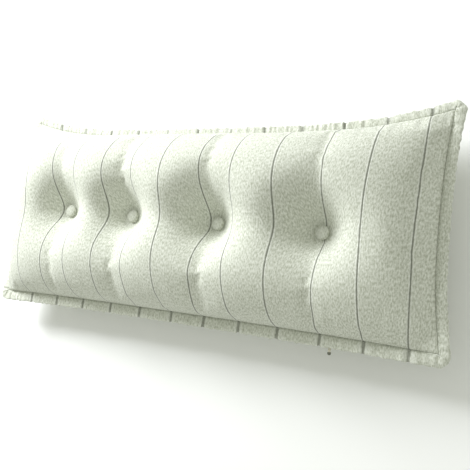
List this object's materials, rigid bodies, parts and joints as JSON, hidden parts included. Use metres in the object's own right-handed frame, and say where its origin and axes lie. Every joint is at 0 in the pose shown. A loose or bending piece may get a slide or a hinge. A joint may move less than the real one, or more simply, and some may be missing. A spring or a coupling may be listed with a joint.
{
  "type": "buttoned back-rest cushion",
  "caption": "Long filled back-rest cushion with a row of covered buttons, a crowned striped front and a flat sewn border.",
  "frame": {"origin": "on the surface that the cushion lies on, under the middle of its outer box", "axes": "+X along the cushion, +Y up its front as it stands in use, +Z out of its front, away from the surface it lies on"},
  "size_m": [1.106, 0.5075, 0.1999],
  "materials": {
    "panel_cloth": "matte heathered linen-like weave, pale sage off-white with thin dark grey stripes",
    "border_cloth": "matte heathered linen-like weave, double and lightly pleated",
    "button_cloth": "matte weave drawn tight over a disc",
    "pull_metal": "satin cream with a dark tip"
  },
  "bodies": {
    "root": {"body": "panel_cloth", "border_top": "border_cloth", "border_bottom": "border_cloth", "border_left": "border_cloth", "border_right": "border_cloth", "button_1": "button_cloth", "button_2": "button_cloth", "button_3": "button_cloth", "button_4": "button_cloth", "zip_pull": "pull_metal"}
  },
  "joints": []
}
